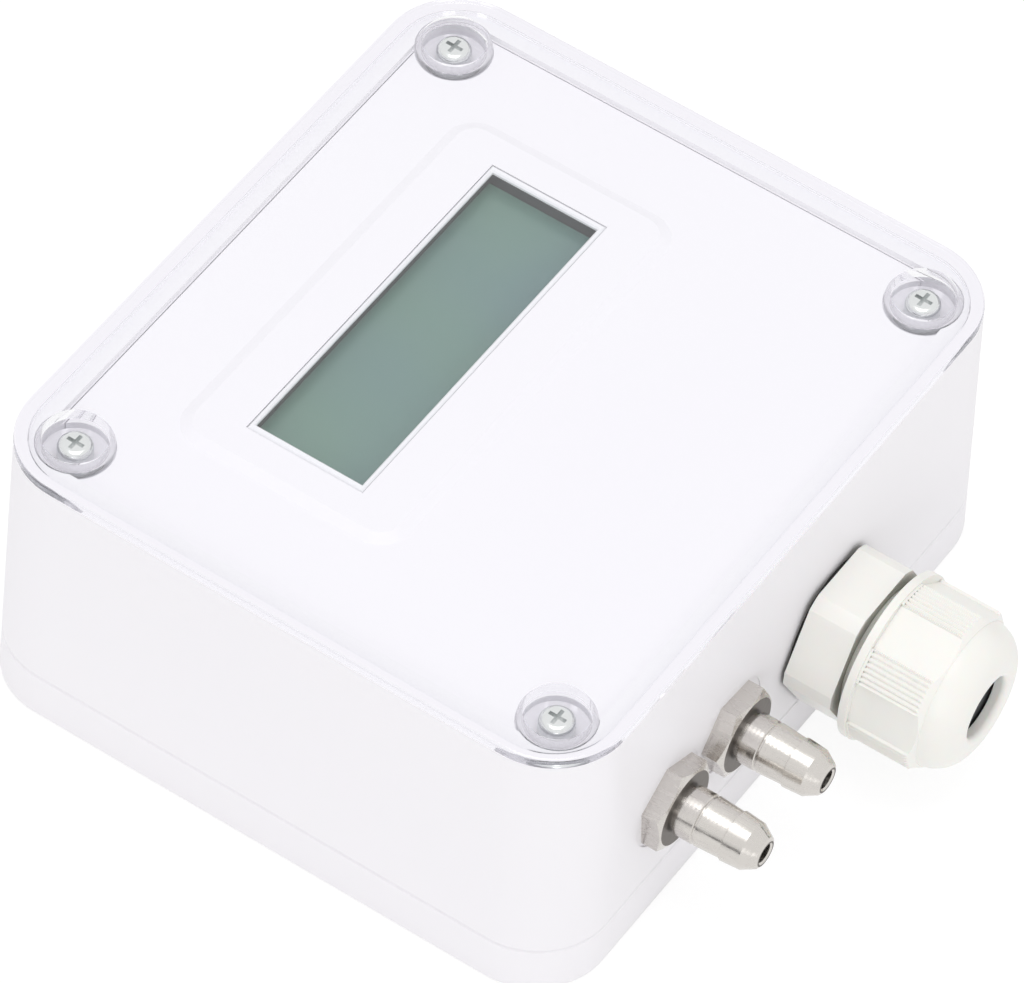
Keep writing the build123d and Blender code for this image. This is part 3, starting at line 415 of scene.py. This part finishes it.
# Moulded nitrile rubber: nearly black, dull, with a bloom of 0.3 mm.
bloom_width = 0.0003
place = add_node(tree, "ShaderNodeTexCoord").outputs["Object"]
bloom = add_node(tree, "ShaderNodeTexNoise", {"Vector": place, "Scale": 1 / bloom_width})
tone = add_node(tree, "ShaderNodeMix", {"Factor": bloom.outputs["Fac"]}, data_type="RGBA")
tone.inputs["A"].default_value = srgb("#1B1B1A")
tone.inputs["B"].default_value = srgb("#262625")
rubber = add_node(tree, "ShaderNodeBsdfPrincipled", {
    "Base Color": tone.outputs["Result"], "Roughness": 0.5, "IOR": 1.52})
finish_material(tree, rubber.outputs["BSDF"])
dress(black_rubber, "gland_washer")

seal_rubber, tree = new_material("seal_rubber_painted_lighter")
# The same rubber, drawn greyer: painted light, so that the shaded mouth of the gland
# reads lighter; dull, with a mottle of 0.6 mm.
mottle_width = 0.0006
place = add_node(tree, "ShaderNodeTexCoord").outputs["Object"]
mottle = add_node(tree, "ShaderNodeTexNoise", {"Vector": place, "Scale": 1 / mottle_width,
                                               "Detail": 3.0})
tone = add_node(tree, "ShaderNodeMix", {"Factor": mottle.outputs["Fac"]}, data_type="RGBA")
# Greys lighter than the washer's black: painted light inside the shaded mouth.
tone.inputs["A"].default_value = srgb("#48494A")
tone.inputs["B"].default_value = srgb("#5E5F60")
rubber = add_node(tree, "ShaderNodeBsdfPrincipled", {
    "Base Color": tone.outputs["Result"], "Roughness": 0.55, "IOR": 1.52})
finish_material(tree, rubber.outputs["BSDF"])
dress(seal_rubber, "gland_seal")


# Studio: the transmitter lies on its back on a white floor in a white room, lit by a
# large soft box overhead and a weaker one at the front left. Two low dark cards outside
# the picture give the bright metal something to reflect.

bpy.ops.mesh.primitive_plane_add(size=6.0, location=(0.0, 0.0, -0.0002))
floor = bpy.context.object
floor.name = "studio_floor"
white_floor, tree = new_material("white_studio_floor")
# Matt paper that glows by itself where it is looked at, so that it shows as even white.
glow_share = 0.8
rays = add_node(tree, "ShaderNodeLightPath")
seen = add_node(tree, "ShaderNodeMath", {0: rays.outputs["Is Camera Ray"],
                                         1: rays.outputs["Is Glossy Ray"]},
                operation="MAXIMUM")
seen = add_node(tree, "ShaderNodeMath", {0: seen.outputs["Value"],
                                         1: rays.outputs["Is Transmission Ray"]},
                operation="MAXIMUM")
share = add_node(tree, "ShaderNodeMath", {0: seen.outputs["Value"], 1: glow_share},
                 operation="MULTIPLY")
paper = add_node(tree, "ShaderNodeBsdfPrincipled", {
    "Base Color": srgb("#FFFFFF"), "Roughness": 0.9, "Specular IOR Level": 0.0})
glow = add_node(tree, "ShaderNodeEmission", {"Color": srgb("#FFFFFF"), "Strength": 1.05})
mixed = add_node(tree, "ShaderNodeMixShader", {0: share.outputs["Value"],
                                               1: paper.outputs["BSDF"],
                                               2: glow.outputs["Emission"]})
finish_material(tree, mixed.outputs["Shader"])
floor.data.materials.append(white_floor)

room = bpy.data.worlds.new("white_room")
room.use_nodes = True
tree = room.node_tree
tree.nodes.clear()
# The room is full white where it is seen, and lights matt faces a little less.
rays = add_node(tree, "ShaderNodeLightPath")
seen = add_node(tree, "ShaderNodeMath", {0: rays.outputs["Is Camera Ray"],
                                         1: rays.outputs["Is Glossy Ray"]},
                operation="MAXIMUM")
seen = add_node(tree, "ShaderNodeMath", {0: seen.outputs["Value"],
                                         1: rays.outputs["Is Transmission Ray"]},
                operation="MAXIMUM")
level = add_node(tree, "ShaderNodeMapRange", {"Value": seen.outputs["Value"],
                                              "To Min": 0.84, "To Max": 1.0})
air = add_node(tree, "ShaderNodeBackground", {"Color": srgb("#FFFFFF"),
                                              "Strength": level.outputs["Result"]})
add_node(tree, "ShaderNodeOutputWorld", {"Surface": air.outputs["Background"]})
bpy.context.scene.world = room


def soft_box(name, place, size, power):
    """Square area lamp that faces the middle of the case."""
    lamp = bpy.data.lights.new(name, "AREA")
    lamp.shape = "SQUARE"
    lamp.size = size
    lamp.energy = power
    lamp_object = bpy.data.objects.new(name, lamp)
    lamp_object.location = place
    aim = Vector((0.0, 0.0, 0.02)) - Vector(place)
    lamp_object.rotation_euler = aim.to_track_quat("-Z", "Y").to_euler()
    bpy.context.scene.collection.objects.link(lamp_object)


soft_box("main_soft_box", place=(-0.10, -0.05, 1.1), size=0.6, power=2.7)
soft_box("front_soft_box", place=(-0.90, -0.50, 0.35), size=0.4, power=1.1)


def dark_card(name, place, width, height):
    """Upright dark card that faces the middle of the case."""
    bpy.ops.mesh.primitive_plane_add(size=1.0, location=place)
    card = bpy.context.object
    card.name = name
    card.scale = (width, height, 1.0)
    aim = Vector((0.0, 0.0, place[2])) - Vector(place)
    card.rotation_euler = aim.to_track_quat("Z", "Y").to_euler()
    card.data.materials.append(card_black)


card_black, tree = new_material("black_card")
# Dull black card with a faint fibre.
fibre_scale = 400.0
fibre = add_node(tree, "ShaderNodeTexNoise", {"Scale": fibre_scale})
tone = add_node(tree, "ShaderNodeMix", {"Factor": fibre.outputs["Fac"]}, data_type="RGBA")
tone.inputs["A"].default_value = srgb("#1C1C1E")
tone.inputs["B"].default_value = srgb("#242427")
card_face = add_node(tree, "ShaderNodeBsdfPrincipled", {
    "Base Color": tone.outputs["Result"], "Roughness": 0.9})
finish_material(tree, card_face.outputs["BSDF"])
dark_card("left_card", place=(-0.50, -0.05, 0.06), width=0.5, height=0.08)
dark_card("right_card", place=(0.30, 0.05, 0.035), width=0.5, height=0.07)

# Camera at the photograph's viewing angle, looking down at 50.7 degrees.
camera_data = bpy.data.cameras.new("photo_camera")
camera_data.sensor_width = 36.0
camera_data.lens = 282.09
camera_data.clip_start = 0.01
camera = bpy.data.objects.new("photo_camera", camera_data)
camera.location = (-0.49940, -0.29924, 0.72780)
camera.rotation_euler = [math.radians(turn) for turn in (39.2389, -2.8938, -55.7262)]
bpy.context.scene.collection.objects.link(camera)
bpy.context.scene.camera = camera
bpy.context.scene.view_settings.view_transform = "Standard"
